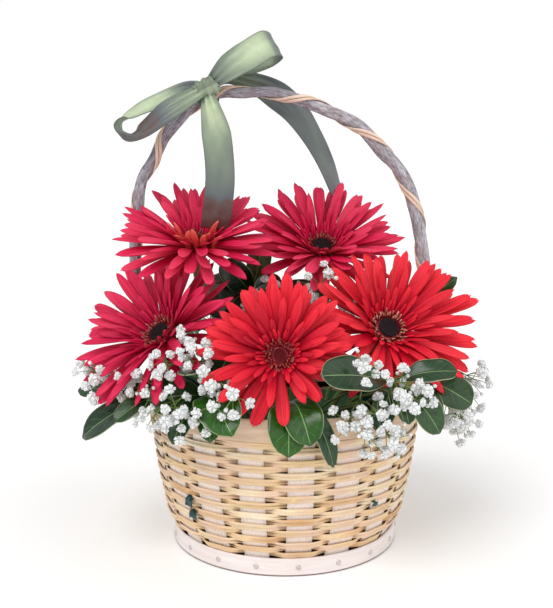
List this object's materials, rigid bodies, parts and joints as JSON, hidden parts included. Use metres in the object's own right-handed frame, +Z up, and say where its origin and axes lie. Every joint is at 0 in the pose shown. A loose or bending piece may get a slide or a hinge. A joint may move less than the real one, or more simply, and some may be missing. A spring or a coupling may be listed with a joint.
{
  "type": "flower basket arrangement",
  "caption": "Round split-wood basket with a branch handle and a satin bow, filled with red gerberas, glossy leaves and white gypsophila.",
  "frame": {"origin": "centre of the underside of the basket", "axes": "+Z up along the basket axis, +X to the right, -Y towards the front of the arrangement"},
  "size_m": [0.319, 0.2586, 0.3642],
  "materials": {
    "board_wood": "plain pale wood",
    "band_wood": "pale pinkish wood with fine grain and small grey nail heads",
    "stake_wood": "pale pinkish split wood with fine dark upright grain",
    "strip_wood": "tan and straw-yellow split wood, matte, each strip a little different",
    "rim_wood": "flat pale tan wood",
    "bark": "rough grey-brown bark with lengthwise furrows",
    "cane": "split cane, tan and cream",
    "liner_film": "thin dark green plastic",
    "satin": "sage green satin ribbon with a soft sheen and woven edges",
    "petal_scarlet": "velvety scarlet ray florets with fine lengthwise lines",
    "petal_crimson": "velvety crimson ray florets with fine lengthwise lines",
    "eye_dark": "near-black disc florets with reddish tips",
    "stem_green": "soft green stem, slightly hairy",
    "leaf_green": "glossy dark green leaf with a pale midrib",
    "floret_white": "white double florets on fine green stems",
    "floral_foam": "wet green floral foam, matte and porous"
  },
  "bodies": {
    "root": {"base_board": "board_wood", "base_band": "band_wood", "stake_cage": "stake_wood", "weaver_row_01": "strip_wood", "weaver_row_02": "strip_wood", "weaver_row_03": "strip_wood", "weaver_row_04": "strip_wood", "weaver_row_05": "strip_wood", "weaver_row_06": "strip_wood", "weaver_row_07": "strip_wood", "weaver_row_08": "strip_wood", "rim_hoop": "rim_wood", "handle_branch": "bark", "handle_cane": "cane", "liner": "liner_film", "ribbon_bow": "satin", "foam": "floral_foam", "gerbera_front_stem": "stem_green", "gerbera_front_eye": "eye_dark", "gerbera_front_head": "petal_scarlet", "gerbera_right_stem": "stem_green", "gerbera_right_eye": "eye_dark", "gerbera_right_head": "petal_scarlet", "gerbera_middle_left_stem": "stem_green", "gerbera_middle_left_eye": "eye_dark", "gerbera_middle_left_head": "petal_crimson", "gerbera_back_left_stem": "stem_green", "gerbera_back_left_eye": "eye_dark", "gerbera_back_left_head": "petal_crimson", "gerbera_back_right_stem": "stem_green", "gerbera_back_right_eye": "eye_dark", "gerbera_back_right_head": "petal_crimson", "leaf_sprig_front_left": "leaf_green", "leaf_sprig_left": "leaf_green", "leaf_sprig_front": "leaf_green", "leaf_sprig_right": "leaf_green", "leaf_sprig_far_right": "leaf_green", "leaf_sprig_back_middle": "leaf_green", "leaf_sprig_back_right": "leaf_green", "leaf_sprig_back": "leaf_green", "leaf_sprig_back_left": "leaf_green", "gypsophila_left": "floret_white", "gypsophila_front_left": "floret_white", "gypsophila_front_middle": "floret_white", "gypsophila_over_left": "floret_white", "gypsophila_right": "floret_white", "gypsophila_right_upper": "floret_white", "gypsophila_far_right": "floret_white", "gypsophila_middle": "floret_white", "gypsophila_back_right": "floret_white", "gypsophila_back_left": "floret_white"}
  },
  "joints": []
}
